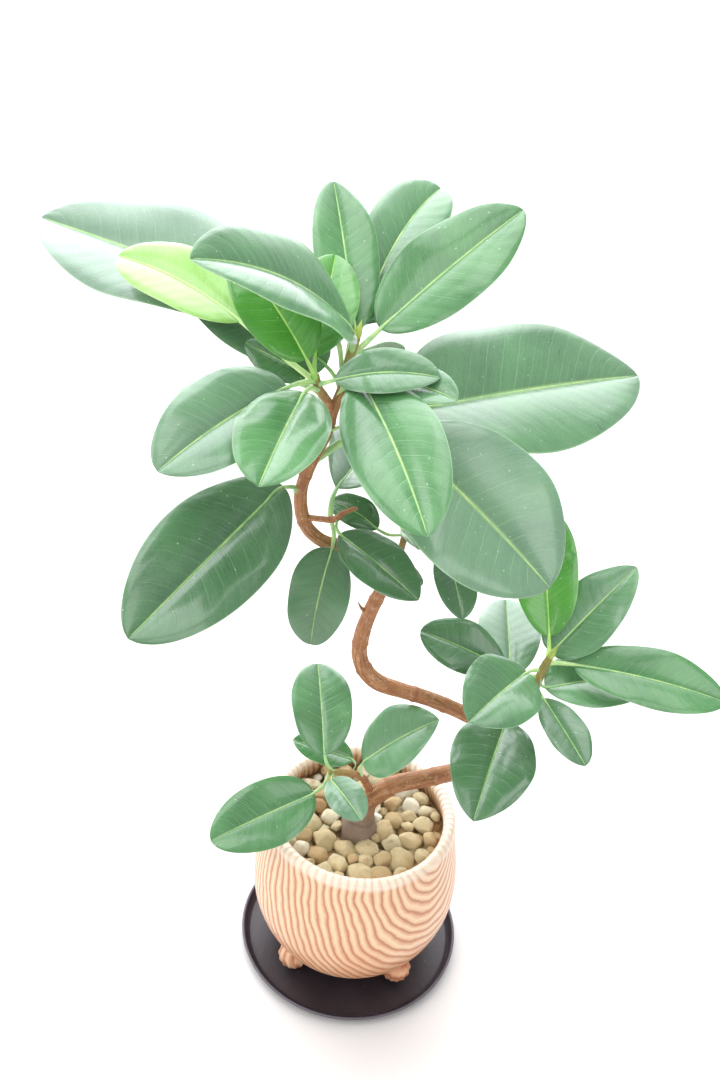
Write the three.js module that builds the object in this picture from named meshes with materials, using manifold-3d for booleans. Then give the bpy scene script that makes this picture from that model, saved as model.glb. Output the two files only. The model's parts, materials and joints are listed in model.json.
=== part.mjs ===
// Potted ficus: a young fig tree with a winding trunk, in a round-bellied ceramic pot on a saucer.
// Millimetres, +Z up. The origin is the centre of the saucer's underside.
import * as THREE from 'three'
import { mergeVertices } from 'three/addons/utils/BufferGeometryUtils.js'
import Module from 'manifold-3d'

const wasm = await Module()
wasm.setup()

// ---- driving dimensions ----
const gap = 0.3                 // clearance between pieces that touch
const saucerRadius = 75
const saucerFloor = 3           // thickness of the saucer's flat middle
const lipHeight = 8
const potRadius = 68            // at the belly
const rimRadius = 62            // outside of the rim
const mouthRadius = 53.4        // inside of the rim
const rimHeight = 122
const potFloor = 12             // underside of the pot, above the table
const wall = 6
const drainRadius = 6
const potFeet = { count: 4, first: -47, circle: 49, radius: 10 }
const soilHeight = 95
const gravelHeight = 114.5
const stalkRadius = 1.15
const bladeThickness = 0.9
const bladeFold = 10            // degrees that each half of a blade rises from its midrib
const roundSides = 36           // sides of the turned pieces
const trunkSides = 8
const twigSides = 8
const leafSides = 8
const stalkSteps = 2
const bladeSteps = 8

// ---- materials ----
const looks = {
  glaze: { color: 0xf5d9bd, roughness: 0.35 },
  saucer: { color: 0x28202a, roughness: 0.4 },
  stone: { color: 0xc9b48c, roughness: 0.85 },
  soil: { color: 0x3a2a1c, roughness: 1 },
  mesh: { color: 0x4a4a46, roughness: 0.6 },
  bark: { color: 0xa86e46, roughness: 0.8 },
  bud: { color: 0xa9bd57, roughness: 0.5 },
  lime: { color: 0xa5e682, roughness: 0.35 },
  fresh: { color: 0x5aaf2d, roughness: 0.35 },
  mature: { color: 0x6ea06e, roughness: 0.35 },
  dark: { color: 0x46783f, roughness: 0.35 }
}

const group = new THREE.Group()

function add(name, geometry, look) {
  const material = new THREE.MeshStandardMaterial({ ...looks[look], metalness: 0 })
  const mesh = new THREE.Mesh(geometry, material)
  mesh.name = name
  group.add(mesh)
}

const radians = degrees => THREE.MathUtils.degToRad(degrees)
const vector = values => new THREE.Vector3(...values)

// ---- joining and cutting ----
function welded(geometry) {
  const bare = geometry.clone()
  bare.deleteAttribute('normal')
  bare.deleteAttribute('uv')
  return mergeVertices(bare, 1e-4)
}

function toSolid(geometry) {
  const mesh = welded(geometry)
  return new wasm.Manifold(new wasm.Mesh({
    numProp: 3,
    vertProperties: new Float32Array(mesh.attributes.position.array),
    triVerts: new Uint32Array(mesh.index.array)
  }))
}

function toGeometry(solid) {
  const mesh = solid.getMesh()
  const geometry = new THREE.BufferGeometry()
  geometry.setAttribute('position', new THREE.BufferAttribute(mesh.vertProperties, 3))
  geometry.setIndex(new THREE.BufferAttribute(mesh.triVerts, 1))
  return geometry
}

// Turned piece: the profile's points are [radius, height] pairs.
function turned(profile, sides = roundSides) {
  const points = profile.map(([radius, height]) => new THREE.Vector2(radius, height))
  const geometry = new THREE.LatheGeometry(points, sides)
  geometry.rotateX(Math.PI / 2)
  return geometry
}

// A skin over a row of cross-sections. Each ring has a centre, two axes, and how far it
// reaches along each; lift raises the two sides of a folded blade.
function skin(rings, sides) {
  const geometry = welded(new THREE.CylinderGeometry(1, 1, 1, sides, rings.length - 1))
  const position = geometry.attributes.position
  for (let i = 0; i < position.count; i++) {
    const along = Math.round((position.getY(i) + 0.5) * (rings.length - 1))
    const ring = rings[along]
    const side = position.getX(i)
    const height = position.getZ(i) * ring.thick + Math.abs(side) * ring.lift
    const point = ring.centre.clone()
    point.addScaledVector(ring.across, side * ring.wide)
    point.addScaledVector(ring.up, height)
    position.setXYZ(i, point.x, point.y, point.z)
  }
  return geometry
}

// Round tapering stem along a smooth curve; stops are [x, y, z, radius].
function stemRings(stops, extra = 0) {
  const curve = new THREE.CatmullRomCurve3(stops.map(stop => vector(stop.slice(0, 3))))
  const count = 2 * (stops.length - 1)
  const frames = curve.computeFrenetFrames(count, false)
  return frames.tangents.map((tangent, i) => {
    const t = i / count
    const place = curve.getUtoTmapping(t) * (stops.length - 1)
    const low = Math.min(Math.floor(place), stops.length - 2)
    const radius = THREE.MathUtils.lerp(stops[low][3], stops[low + 1][3], place - low) + extra
    return {
      centre: curve.getPointAt(t),
      across: frames.normals[i],
      up: frames.normals[i].clone().cross(tangent),
      wide: radius,
      thick: radius,
      lift: 0
    }
  })
}

// ---- the woody stems ----
const stems = {
  trunk: [
    [-1, -5, 84, 9], [-1, -5, 100, 12.5], [-1, -5, 113, 11.4], [0, -4, 121, 8.2], [4, -3, 134, 6.4],
    [18, 0, 146, 5.8], [36, 3, 151, 5.6], [54, 6, 156, 5.5], [71, 9, 162, 5.4],
    [80, 11, 173, 5.2], [79, 12, 187, 5], [71, 11, 196, 4.8], [56, 10, 203, 4.6],
    [41, 8, 211, 4.5], [28, 6, 217, 4.5], [14, 4, 222, 4.6], [1, 2, 228, 5],
    [-8, 1, 238, 4.8], [-12, 0, 251, 4.5], [-11, 0, 267, 4.4], [-8, 0, 282, 4.1],
    [-3, -1, 298, 3.8], [0, -3, 312, 3.8], [-5, -6, 324, 3.7], [-15, -8, 329, 3.6],
    [-27, -9, 330, 3.7], [-37, -10, 332, 3.6], [-46, -10, 339, 3.6], [-50, -10, 349, 3.6],
    [-51, -10, 363, 3.4], [-48, -9, 375, 3.3], [-44, -9, 386, 3], [-40, -9, 396, 2.8],
    [-37, -9, 411, 2.6], [-34, -7, 421, 2.4], [-32, -5, 433, 2.2], [-29, -3, 447, 2]
  ],
  leftFork: [[-37, -9, 409, 2.3], [-41, -11, 416, 2.2], [-45, -14, 423, 2.2], [-47, -17, 431, 2]],
  sideTwig: [
    [-50, -10, 346, 1.8], [-41, -13, 348, 1.6], [-32, -17, 351, 1.8],
    [-27, -17, 356, 1.2], [-21, -17, 359, 1]
  ],
  backTwig: [[-1, -3, 313, 2], [4, -1, 321, 1.9], [6, 2, 330, 1.8], [8, 5, 338, 1.5]],
  rightBranch: [
    [80, 12, 180, 3.4], [86, 11, 197, 3], [91, 8, 215, 2.8],
    [95, 4, 236, 2.6], [97, 2, 252, 2.5], [99, 2, 259, 2]
  ],
  lowTwig: [[4, -3, 141, 2.6], [-2, -5, 155, 2.3], [-12, -8, 161, 2.1], [-24, -11, 163, 2]]
}

function stemSolid(name, extra = 0) {
  const sides = name === 'trunk' ? trunkSides : twigSides
  return toSolid(skin(stemRings(stems[name], extra), sides))
}

const trunkWithRoom = stemSolid('trunk', gap)
const roomFor = { trunk: trunkWithRoom }
for (const name of Object.keys(stems)) {
  if (name !== 'trunk') {
    roomFor[name] = stemSolid(name, gap).add(trunkWithRoom)
  }
}

// ---- leaves ----
// on, at: the stem and how far along it the stalk grows. foot: where the blade begins.
// aim: heading, rise and roll in degrees. size: length and width of the blade.
// curve: droop and sideways sweep from foot to tip. outline: fullness towards base and tip.
const leaves = {
  leaf_top_far_left: {
    on: 'trunk', at: 0.953, foot: [-49, 4, 453], aim: [156, 5, 27], size: [178, 69],
    curve: [3, -5], outline: [0.85, 0.7], look: 'mature'
  },
  leaf_fork_left: {
    on: 'trunk', at: 0.91, foot: [-43, 9, 426], aim: [166, 18, 34], size: [86, 37],
    curve: [3, -2], outline: [0.45, 0.8], look: 'mature'
  },
  leaf_left_lime: {
    on: 'leftFork', at: 0.81, foot: [-85, -7, 451], aim: [154, 26, 27], size: [76, 36],
    curve: [28, 1], outline: [0.65, 0.6], look: 'lime'
  },
  leaf_top_left_broad: {
    on: 'trunk', at: 0.985, foot: [-32, -12, 455], aim: [226, 47, 33], size: [105, 52],
    curve: [38, -2], outline: [0.4, 0.65], look: 'mature'
  },
  leaf_left_bright: {
    on: 'leftFork', at: 0.83, foot: [-51, -24, 442], aim: [153, 53, 38], size: [62, 35],
    curve: [20, -2], outline: [0.5, 0.6], look: 'fresh'
  },
  leaf_left_upright: {
    on: 'leftFork', at: 0.85, foot: [-48, -14, 439], aim: [81, 50, -12], size: [58, 32],
    curve: [20, 6], outline: [0.75, 0.7], look: 'fresh'
  },
  leaf_top_upright: {
    on: 'trunk', at: 0.99, foot: [-30, 6, 446], aim: [107, 47, -5], size: [86, 35],
    curve: [13, 0], outline: [0.65, 0.65], look: 'mature'
  },
  leaf_top_back: {
    on: 'trunk', at: 0.945, foot: [-32, 26, 441], aim: [93, 9, 4], size: [169, 85],
    curve: [10, -4], outline: [0.45, 0.9], look: 'mature'
  },
  leaf_top_back_right: {
    on: 'trunk', at: 0.975, foot: [-27, 16, 448], aim: [76, 42, -24], size: [104, 38],
    curve: [29, -16], outline: [0.65, 0.45], look: 'mature'
  },
  leaf_top_right: {
    on: 'trunk', at: 0.978, foot: [-18, 3, 450], aim: [33, 38, -32], size: [96, 44],
    curve: [11, 5], outline: [0.55, 0.65], look: 'mature'
  },
  leaf_top_small: {
    on: 'trunk', at: 0.935, foot: [-27, 3, 437], aim: [51, -6, 36], size: [37, 18],
    curve: [22, 0], outline: [0.5, 0.65], look: 'mature'
  },
  leaf_crown_right_long: {
    on: 'trunk', at: 0.86, foot: [-1, 7, 405], aim: [36, -1, -31], size: [181, 85],
    curve: [7, 4], outline: [0.5, 0.7], look: 'mature'
  },
  leaf_fork_front: {
    on: 'trunk', at: 0.935, foot: [-26, -19, 434], aim: [-63, -14, -18], size: [96, 46],
    curve: [17, -4], outline: [0.7, 0.65], look: 'mature'
  },
  leaf_fork_right_broad: {
    on: 'trunk', at: 0.9, foot: [-7, -21, 408], aim: [-28, -25, -29], size: [109, 77],
    curve: [12, 3], outline: [0.7, 0.6], look: 'mature'
  },
  leaf_fork_turned: {
    on: 'trunk', at: 0.925, foot: [-19, -13, 431], aim: [-33, 17, -30], size: [49, 23],
    curve: [22, -3], outline: [0.6, 0.6], look: 'mature'
  },
  leaf_left_across: {
    on: 'leftFork', at: 0.78, foot: [-37, -24, 433], aim: [-6, 25, -35], size: [51, 25],
    curve: [29, -2], outline: [0.6, 0.65], look: 'mature'
  },
  leaf_left_low: {
    on: 'leftFork', at: 0.87, foot: [-59, -28, 429], aim: [232, -2, 27], size: [82, 45],
    curve: [20, -1], outline: [0.45, 0.55], look: 'mature'
  },
  leaf_left_under: {
    on: 'leftFork', at: 0.47, foot: [-55, -10, 423], aim: [171, 8, 0], size: [70, 29],
    curve: [52, 6], outline: [0.85, 0.4], look: 'mature'
  },
  leaf_left_round: {
    on: 'leftFork', at: 0.62, foot: [-51, -30, 428], aim: [260, -5, 5], size: [70, 42],
    curve: [14, -1], outline: [0.6, 0.55], look: 'mature'
  },
  leaf_left_dark: {
    on: 'leftFork', at: 0.73, foot: [-51, -10, 428], aim: [169, 19, 56], size: [35, 20],
    curve: [3, -5], outline: [0.45, 0.6], look: 'dark'
  },
  leaf_trunk_left_big: {
    on: 'trunk', at: 0.79, foot: [-60, -21, 371], aim: [242, -12, 32], size: [118, 56],
    curve: [5, -4], outline: [0.6, 0.6], look: 'dark'
  },
  leaf_twig_back: {
    on: 'sideTwig', at: 0.5, foot: [-33, 2, 359], aim: [72, 2, -23], size: [90, 45],
    curve: [12, 8], outline: [0.7, 0.45], look: 'mature'
  },
  leaf_twig_hanging: {
    on: 'sideTwig', at: 0.53, foot: [-32, -22, 336], aim: [245, -58, 13], size: [56, 33],
    curve: [26, 5], outline: [0.45, 0.55], look: 'dark'
  },
  leaf_twig_front: {
    on: 'sideTwig', at: 0.64, foot: [-29, -23, 346], aim: [-35, -11, -19], size: [55, 30],
    curve: [13, 3], outline: [0.65, 0.7], look: 'dark'
  },
  leaf_back_blotched: {
    on: 'backTwig', at: 0.8, foot: [-9, 6, 333], aim: [151, 29, 26], size: [32, 20],
    curve: [34, 3], outline: [0.6, 0.6], look: 'dark'
  },
  leaf_back_small: {
    on: 'backTwig', at: 0.92, foot: [4, -6, 342], aim: [-57, 2, 9], size: [18, 9],
    curve: [17, 1], outline: [0.55, 0.6], look: 'mature'
  },
  leaf_back_tiny: {
    on: 'backTwig', at: 0.6, foot: [-3, -12, 326], aim: [-39, -2, 4], size: [26, 13],
    curve: [12, 2], outline: [0.55, 0.6], look: 'dark'
  },
  leaf_back_low: {
    on: 'backTwig', at: 0.7, foot: [28, -17, 339], aim: [-71, -21, -2], size: [40, 23],
    curve: [22, -2], outline: [0.5, 0.6], look: 'dark'
  },
  leaf_right_inner: {
    on: 'rightBranch', at: 0.8, foot: [75, 5, 245], aim: [168, 21, 31], size: [55, 33],
    curve: [13, 0], outline: [0.65, 0.6], look: 'dark'
  },
  leaf_right_back: {
    on: 'rightBranch', at: 0.7, foot: [81, 13, 233], aim: [91, 16, 3], size: [66, 39],
    curve: [13, -1], outline: [0.6, 0.55], look: 'mature'
  },
  leaf_right_upright: {
    on: 'rightBranch', at: 0.97, foot: [99, 15, 264], aim: [100, 50, 15], size: [80, 39],
    curve: [17, -3], outline: [0.55, 0.5], look: 'fresh'
  },
  leaf_right_raised: {
    on: 'rightBranch', at: 0.9, foot: [101, 11, 255], aim: [33, 44, -18], size: [73, 39],
    curve: [10, 3], outline: [0.45, 0.7], look: 'mature'
  },
  leaf_right_far: {
    on: 'rightBranch', at: 0.95, foot: [114, 4, 254], aim: [-10, 5, -33], size: [90, 37],
    curve: [17, 1], outline: [0.6, 0.6], look: 'mature'
  },
  leaf_right_under: {
    on: 'rightBranch', at: 0.82, foot: [99, -3, 240], aim: [20, 5, -19], size: [78, 40],
    curve: [22, 1], outline: [0.55, 0.75], look: 'mature'
  },
  leaf_right_front: {
    on: 'rightBranch', at: 0.87, foot: [87, -2, 250], aim: [235, 9, 21], size: [64, 45],
    curve: [12, 0], outline: [0.55, 0.65], look: 'mature'
  },
  leaf_right_hanging: {
    on: 'rightBranch', at: 0.68, foot: [98, -9, 237], aim: [-62, -9, -7], size: [48, 25],
    curve: [9, 0], outline: [0.65, 0.6], look: 'dark'
  },
  leaf_bend_hanging: {
    on: 'rightBranch', at: 0.35, foot: [81, 0, 209], aim: [253, -7, 4], size: [74, 50],
    curve: [9, 1], outline: [0.55, 0.7], look: 'dark'
  },
  leaf_low_upright: {
    on: 'lowTwig', at: 0.9, foot: [-27, -9, 175], aim: [101, 40, -4], size: [62, 39],
    curve: [26, 0], outline: [0.55, 0.55], look: 'mature'
  },
  leaf_low_right: {
    on: 'lowTwig', at: 0.35, foot: [-3, -7, 170], aim: [-10, 56, -30], size: [63, 42],
    curve: [17, 4], outline: [0.6, 0.75], look: 'mature'
  },
  leaf_low_left: {
    on: 'lowTwig', at: 0.97, foot: [-31, -21, 154], aim: [207, -12, 35], size: [69, 41],
    curve: [11, -5], outline: [0.5, 0.6], look: 'mature'
  },
  leaf_low_front: {
    on: 'lowTwig', at: 0.8, foot: [-22, -17, 163], aim: [-52, 2, -14], size: [35, 23],
    curve: [16, -1], outline: [0.55, 0.55], look: 'mature'
  },
  leaf_low_back: {
    on: 'lowTwig', at: 0.6, foot: [-9, 2, 163], aim: [175, 14, 13], size: [40, 24],
    curve: [5, -3], outline: [0.6, 0.65], look: 'mature'
  }
}

function stemPoint(name, at) {
  const stops = stems[name].map(stop => vector(stop.slice(0, 3)))
  return new THREE.CatmullRomCurve3(stops).getPointAt(at)
}

// Axes of a blade that points along heading and rise, then is rolled about its midrib.
function bladeAxes(heading, rise, roll) {
  const [turn, climb, tilt] = [heading, rise, roll].map(radians)
  const along = new THREE.Vector3(
    Math.cos(climb) * Math.cos(turn), Math.cos(climb) * Math.sin(turn), Math.sin(climb))
  const level = new THREE.Vector3(Math.sin(turn), -Math.cos(turn), 0)
  const normal = level.clone().cross(along)
  const across = level.multiplyScalar(Math.cos(tilt)).addScaledVector(normal, Math.sin(tilt))
  return { along, across, up: across.clone().cross(along) }
}

function bladeHalfWidth(s, width, [base, tip]) {
  const widest = base / (base + tip)
  return width / 2 * (s / widest) ** base * ((1 - s) / (1 - widest)) ** tip
}

function leafRings({ on, at, foot, aim, size, curve, outline }) {
  const rings = []
  const [heading, rise, roll] = aim
  const start = stemPoint(on, at)
  const end = vector(foot)
  const first = bladeAxes(...aim)
  const reach = start.distanceTo(end)
  const bow = end.clone().addScaledVector(first.along, -0.4 * reach)
  const stalk = new THREE.QuadraticBezierCurve3(start, bow, end)
  for (let i = 0; i < stalkSteps; i++) {
    const t = i / stalkSteps
    const tangent = stalk.getTangent(t)
    const across = first.across.clone().addScaledVector(tangent, -first.across.dot(tangent)).normalize()
    rings.push({
      centre: stalk.getPoint(t),
      across,
      up: across.clone().cross(tangent),
      wide: stalkRadius,
      thick: stalkRadius,
      lift: 0
    })
  }
  const [length, width] = size
  const [droop, sweep] = curve
  const fine = 8
  let centre = end
  for (let i = 0; i <= bladeSteps; i++) {
    const u = i / bladeSteps
    const s = 0.02 + 0.965 * (0.5 * u + 0.25 * (1 - Math.cos(Math.PI * u)))
    const from = i === 0 ? 0 : rings.at(-1).s
    centre = centre.clone()
    for (let j = 0; j < fine; j++) {
      const middle = from + (s - from) * (j + 0.5) / fine
      const step = bladeAxes(heading + sweep * middle, rise - droop * middle, roll)
      centre.addScaledVector(step.along, length * (s - from) / fine)
    }
    const axes = bladeAxes(heading + sweep * s, rise - droop * s, roll)
    const wide = Math.max(bladeHalfWidth(s, width, outline), stalkRadius * (1 - 0.6 * s))
    const thin = THREE.MathUtils.smoothstep(s, 0, 0.12)
    const flat = THREE.MathUtils.smoothstep(s, 0.02, 0.1)
    rings.push({
      centre,
      across: axes.across,
      up: axes.up,
      wide,
      thick: THREE.MathUtils.lerp(stalkRadius, bladeThickness / 2, thin),
      lift: wide * Math.tan(radians(bladeFold)) * flat,
      s
    })
  }
  return rings
}

// ---- saucer ----
function makeSaucer() {
  const flat = saucerRadius - 17
  return turned([
    [0, 0], [flat, 0], [flat + 8, 1.6], [saucerRadius - 1, lipHeight - 2.2],
    [saucerRadius, lipHeight - 1], [saucerRadius - 0.6, lipHeight], [saucerRadius - 1.8, lipHeight - 0.3],
    [flat + 9, saucerFloor + 1], [flat + 2, saucerFloor], [0, saucerFloor]
  ])
}

// ---- pot ----
function potInside(height) {
  const belly = potRadius - wall
  const up = (height - potFloor - wall) / (60 - potFloor - wall)
  const down = (height - 60) / (rimHeight - 60)
  return height < 60
    ? THREE.MathUtils.lerp(40, belly, Math.sqrt(1 - (1 - up) ** 2))
    : THREE.MathUtils.lerp(belly, mouthRadius, down ** 1.2)
}

const insideHeights = [potFloor + wall, 22, 29, 40, 55, 75, 95, 108, 117]

function makePot() {
  const outside = [
    [44, potFloor], [50, 17], [55, 22.5], [60, 31], [64.5, 42], [67.4, 54], [potRadius, 64],
    [67, 80], [64.6, 97], [rimRadius, 117]
  ]
  const rim = [[rimRadius - 0.6, 119.6], [rimRadius - 2.4, 121.5], [rimRadius - 4.6, rimHeight]]
  const mouth = [[mouthRadius, 119.2], [rimRadius - 6.8, 121.3], [rimRadius - 5, rimHeight + 1]]
  const inside = insideHeights.map(height => [potInside(height), height])
  let pot = toSolid(turned([[0, potFloor], ...outside, ...rim, [0, rimHeight]]))
  for (let i = 0; i < potFeet.count; i++) {
    const foot = new THREE.SphereGeometry(potFeet.radius, 10, 6)
    const turn = radians(potFeet.first + i * 360 / potFeet.count)
    foot.scale(1, 1.05, (potFloor + 1 - saucerFloor - gap) / potFeet.radius)
    foot.translate(potFeet.circle, 0, potFloor + 1)
    foot.rotateZ(turn)
    pot = pot.add(toSolid(foot))
  }
  const hollow = turned([[0, potFloor + wall], ...inside, ...mouth, [0, rimHeight + 1]])
  const drain = new THREE.CylinderGeometry(drainRadius, drainRadius, 4 * wall, 16)
  drain.rotateX(Math.PI / 2)
  drain.translate(0, 0, potFloor)
  return toGeometry(pot.subtract(toSolid(hollow)).subtract(toSolid(drain)))
}

// ---- what fills the pot ----
function fill(low, high) {
  const heights = [low, ...insideHeights.filter(height => height > low + 2 && height < high - 2), high]
  return heights.map(height => [potInside(height) - 2 * gap, height])
}

function makeSoil() {
  const low = insideHeights[1]
  const soil = turned([[0, low], ...fill(low, soilHeight), [0, soilHeight]])
  return toGeometry(toSolid(soil).subtract(trunkWithRoom))
}

function makeGravel() {
  const low = soilHeight + gap
  const top = [46, 34, 22, 11].map(radius => [radius, gravelHeight])
  const bed = turned([[0, low], ...fill(low, gravelHeight - 1), ...top, [0, gravelHeight]])
  const solid = toSolid(bed)
  const uneven = solid.warp(point => {
    if (point[2] > gravelHeight - 0.5) {
      point[2] += 1.2 * Math.sin(0.31 * point[0] + 1) * Math.cos(0.27 * point[1])
    }
  })
  return toGeometry(uneven.subtract(trunkWithRoom))
}

function makeDrainScreen() {
  const low = potFloor + wall + gap
  return turned([[0, low], [14, low], [14, low + 1.2], [0, low + 1.2]], 16)
}

// ---- buds: pointed scales at the growing ends ----
const buds = {
  bud_top: { on: 'trunk', length: 9, radius: 1.8 },
  bud_back: { on: 'backTwig', length: 9, radius: 1.5 },
  bud_right: { on: 'rightBranch', length: 10, radius: 1.8 }
}

function makeBud({ on, length, radius }) {
  const bud = turned([
    [0, 0], [radius * 0.8, 0], [radius, length * 0.25], [radius * 0.6, length * 0.65], [0, length]
  ], twigSides)
  const tip = stemPoint(on, 1)
  const along = tip.clone().sub(stemPoint(on, 0.97)).normalize()
  const turn = new THREE.Quaternion().setFromUnitVectors(new THREE.Vector3(0, 0, 1), along)
  const place = tip.addScaledVector(along, gap)
  bud.applyMatrix4(new THREE.Matrix4().compose(place, turn, new THREE.Vector3(1, 1, 1)))
  return bud
}

// ---- assembly ----
add('saucer', makeSaucer(), 'saucer')
add('pot', makePot(), 'glaze')
add('drain_screen', makeDrainScreen(), 'mesh')
add('soil', makeSoil(), 'soil')
add('gravel', makeGravel(), 'stone')
add('trunk', toGeometry(stemSolid('trunk')), 'bark')

const stemNames = {
  left_fork: 'leftFork',
  side_twig: 'sideTwig',
  back_twig: 'backTwig',
  right_branch: 'rightBranch',
  low_twig: 'lowTwig'
}
for (const [name, stem] of Object.entries(stemNames)) {
  add(name, toGeometry(stemSolid(stem).subtract(trunkWithRoom)), 'bark')
}
for (const [name, leaf] of Object.entries(leaves)) {
  const solid = toSolid(skin(leafRings(leaf), leafSides))
  add(name, toGeometry(solid.subtract(roomFor[leaf.on])), leaf.look)
}
for (const [name, bud] of Object.entries(buds)) {
  add(name, makeBud(bud), 'bud')
}

export default group
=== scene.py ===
# Potted ficus: the looks of a young fig tree, its glazed pot, pebbles and saucer. Metres.
import json
import math
import random

import bpy
import bmesh
import numpy as np
from mathutils import Matrix, Vector, noise


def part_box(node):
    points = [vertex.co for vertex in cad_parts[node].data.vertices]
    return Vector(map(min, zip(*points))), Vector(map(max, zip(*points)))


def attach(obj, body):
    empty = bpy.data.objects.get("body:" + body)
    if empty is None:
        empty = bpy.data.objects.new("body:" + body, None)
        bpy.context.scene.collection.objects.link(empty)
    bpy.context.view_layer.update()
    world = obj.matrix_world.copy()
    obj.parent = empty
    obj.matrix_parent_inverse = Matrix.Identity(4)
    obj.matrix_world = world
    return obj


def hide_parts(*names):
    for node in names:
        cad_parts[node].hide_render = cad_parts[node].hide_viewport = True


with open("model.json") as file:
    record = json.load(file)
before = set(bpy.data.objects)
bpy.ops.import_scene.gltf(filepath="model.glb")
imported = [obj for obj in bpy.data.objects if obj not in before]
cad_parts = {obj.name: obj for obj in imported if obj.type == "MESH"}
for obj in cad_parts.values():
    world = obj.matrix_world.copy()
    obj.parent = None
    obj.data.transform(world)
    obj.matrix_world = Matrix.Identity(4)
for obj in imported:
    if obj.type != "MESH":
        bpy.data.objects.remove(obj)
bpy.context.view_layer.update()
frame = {"nodes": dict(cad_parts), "record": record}
slotOf = {row["node"]: row["material_slot"] for row in frame["record"]["subparts"]}
mm = 0.001


# camera first
cameraSettings = {"place": (-0.0179, -0.4979, 0.6478), "down": 32.65, "roll": 5.49, "lens": 36.0}


def makeCamera():
    bpy.ops.object.camera_add(location=cameraSettings["place"])
    camera = bpy.context.object
    camera.data.sensor_width = 36
    camera.data.lens = cameraSettings["lens"]
    camera.data.clip_start = 0.02
    tilt = Matrix.Rotation(math.radians(90 - cameraSettings["down"]), 4, "X")
    roll = Matrix.Rotation(math.radians(cameraSettings["roll"]), 4, "Z")
    camera.matrix_world = Matrix.Translation(cameraSettings["place"]) @ tilt @ roll
    bpy.context.scene.camera = camera


makeCamera()
print("camera placed")


# small helpers for modelling
def only(*pieces):
    bpy.ops.object.select_all(action="DESELECT")
    for piece in pieces:
        piece.select_set(True)
    bpy.context.view_layer.objects.active = pieces[0]


def newPiece(name):
    piece = bpy.context.object
    piece.name = name
    piece.data.name = name
    return piece


def cleanUp(piece, closeEnds=False, outward=False, merge=0.00002):
    only(piece)
    bpy.ops.object.mode_set(mode="EDIT")
    bpy.ops.mesh.select_all(action="SELECT")
    bpy.ops.mesh.remove_doubles(threshold=merge)
    if closeEnds:
        bpy.ops.mesh.select_all(action="DESELECT")
        bpy.ops.mesh.select_mode(type="EDGE")
        bpy.ops.mesh.select_non_manifold()
        bpy.ops.mesh.fill_holes(sides=0)
        bpy.ops.mesh.select_mode(type="VERT")
    if outward:
        bpy.ops.mesh.select_all(action="SELECT")
        bpy.ops.mesh.normals_make_consistent(inside=False)
    bpy.ops.object.mode_set(mode="OBJECT")


def useModifier(piece, kind, **settings):
    only(piece)
    modifier = piece.modifiers.new(kind.title(), kind)
    for key, value in settings.items():
        setattr(modifier, key, value)
    bpy.ops.object.modifier_apply(modifier=modifier.name)


def joined(name, pieces):
    only(*pieces)
    if len(pieces) > 1:
        bpy.ops.object.join()
    return newPiece(name)


def placeOf(piece):
    only(piece)
    bpy.ops.object.transform_apply(location=True, rotation=True, scale=True)


def finished(piece, nodes=(), angle=40):
    only(piece)
    bpy.ops.object.shade_smooth_by_angle(angle=math.radians(angle))
    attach(piece, "root")
    if nodes:
        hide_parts(*nodes)
    return piece


def pointValue(piece, name, values):
    layer = piece.data.attributes.new(name, "FLOAT", "POINT")
    count = len(piece.data.vertices)
    filled = np.full(count, values, np.float32) if np.isscalar(values) else np.array(values, np.float32)
    layer.data.foreach_set("value", filled)


def gridPiece(name, rows, columns):
    bpy.ops.mesh.primitive_grid_add(x_subdivisions=rows, y_subdivisions=columns, size=1, calc_uvs=True)
    return newPiece(name)


def giveMaterials(piece, *materials):
    piece.data.materials.clear()
    for material in materials:
        piece.data.materials.append(material)


def moveVertices(piece, place):
    for vertex in piece.data.vertices:
        vertex.co = place(vertex.co.x + 0.5, vertex.co.y + 0.5)


def remapUv(piece, along):
    layer = piece.data.uv_layers.active.data
    uv = np.zeros(len(layer) * 2)
    layer.foreach_get("uv", uv)
    uv = uv.reshape(-1, 2)
    uv[:, 0] = along(uv[:, 0])
    layer.foreach_set("uv", uv.ravel())


# small helpers for materials
def colour(code):
    parts = [int(code[i:i + 2], 16) / 255 for i in (1, 3, 5)]
    linear = [p / 12.92 if p <= 0.04045 else ((p + 0.055) / 1.055) ** 2.4 for p in parts]
    return (*linear, 1)


def addNode(tree, kind, inputs=None, **settings):
    made = tree.nodes.new(kind)
    for key, value in settings.items():
        setattr(made, key, value)
    for key, value in (inputs or {}).items():
        socket = made.inputs[key]
        if isinstance(value, bpy.types.NodeSocket):
            tree.links.new(value, socket)
        else:
            socket.default_value = value
    return made


def maths(tree, operation, first, second=0.0, third=0.0, clamp=False):
    inputs = {0: first, 1: second, 2: third}
    return addNode(tree, "ShaderNodeMath", inputs, operation=operation, use_clamp=clamp).outputs[0]


def fade(tree, value, low, high, lowTo=0.0, highTo=1.0):
    inputs = {"Value": value, "From Min": low, "From Max": high, "To Min": lowTo, "To Max": highTo}
    return addNode(tree, "ShaderNodeMapRange", inputs, interpolation_type="SMOOTHSTEP").outputs["Result"]


def mixed(tree, factor, first, second, blend="MIX"):
    made = addNode(tree, "ShaderNodeMix", data_type="RGBA", blend_type=blend)
    for key, value in ((0, factor), (6, first), (7, second)):
        if isinstance(value, bpy.types.NodeSocket):
            tree.links.new(value, made.inputs[key])
        else:
            made.inputs[key].default_value = value
    return made.outputs[2]


def tint(tree, base, mask, share, code):
    return mixed(tree, maths(tree, "MULTIPLY", mask, share), base, colour(code))


def ramp(tree, factor, stops):
    made = addNode(tree, "ShaderNodeValToRGB", {"Fac": factor})
    elements = made.color_ramp.elements
    while len(elements) < len(stops):
        elements.new(0.5)
    for element, (position, code) in zip(elements, stops):
        element.position = position
        element.color = colour(code)
    return made.outputs["Color"]


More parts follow.
